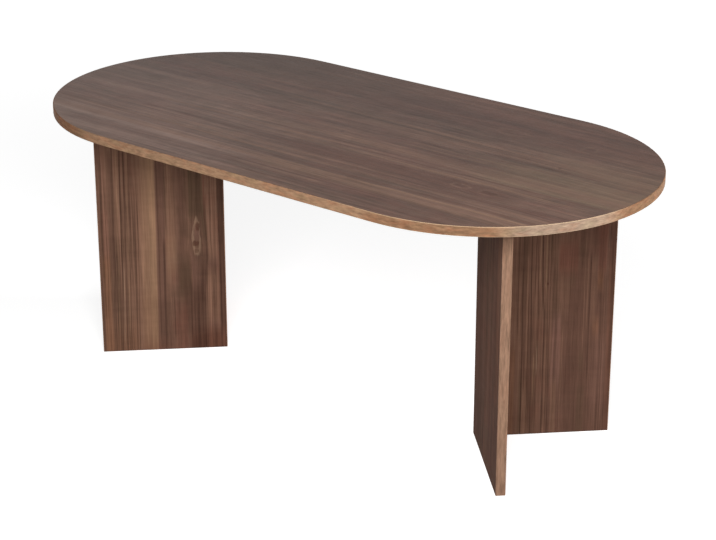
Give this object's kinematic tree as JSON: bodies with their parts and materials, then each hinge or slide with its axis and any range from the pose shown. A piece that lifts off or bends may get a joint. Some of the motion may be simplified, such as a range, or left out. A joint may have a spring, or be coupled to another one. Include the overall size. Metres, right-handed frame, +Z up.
{
  "type": "dining table",
  "caption": "Dining table with a round-ended walnut-melamine board top on V-shaped legs of flat upright boards, which meet in a corner and open towards the table's ends.",
  "frame": {"origin": "on the floor under the middle of the tabletop", "axes": "+X along the tabletop, +Y towards the far long side, +Z up"},
  "size_m": [1.7996, 0.9, 0.75],
  "materials": {
    "walnut_top": "satin walnut melamine, grain along the table, on chipboard",
    "walnut_leg": "satin walnut melamine, grain upright, on chipboard",
    "tan_band": "satin edge band with a light wood print",
    "dark_band": "satin thin edge band, dark brown",
    "cam_zinc": "dull cast zinc",
    "bolt_steel": "zinc-plated steel",
    "cap_plastic": "matt brown moulded plastic",
    "dowel_beech": "raw beech"
  },
  "bodies": {
    "root": {"tabletop_board": "walnut_top", "tabletop_edge_band": "tan_band", "right_leg_front_panel": "walnut_leg", "right_leg_rear_panel": "walnut_leg", "right_leg_front_panel_end_band": "tan_band", "right_leg_front_panel_corner_band": "tan_band", "right_leg_rear_panel_end_band": "tan_band", "right_leg_front_panel_bottom_band": "dark_band", "right_leg_rear_panel_bottom_band": "dark_band", "right_leg_corner_cams": "cam_zinc", "right_leg_corner_cam_bolts": "bolt_steel", "right_leg_corner_cam_caps": "cap_plastic", "right_leg_corner_dowels": "dowel_beech", "right_leg_top_cams": "cam_zinc", "right_leg_top_cam_bolts": "bolt_steel", "right_leg_top_cam_caps": "cap_plastic", "right_leg_top_dowels": "dowel_beech", "left_leg_front_panel": "walnut_leg", "left_leg_rear_panel": "walnut_leg", "left_leg_front_panel_end_band": "tan_band", "left_leg_front_panel_corner_band": "tan_band", "left_leg_rear_panel_end_band": "tan_band", "left_leg_front_panel_bottom_band": "dark_band", "left_leg_rear_panel_bottom_band": "dark_band", "left_leg_corner_cams": "cam_zinc", "left_leg_corner_cam_bolts": "bolt_steel", "left_leg_corner_cam_caps": "cap_plastic", "left_leg_corner_dowels": "dowel_beech", "left_leg_top_cams": "cam_zinc", "left_leg_top_cam_bolts": "bolt_steel", "left_leg_top_cam_caps": "cap_plastic", "left_leg_top_dowels": "dowel_beech"}
  },
  "joints": []
}
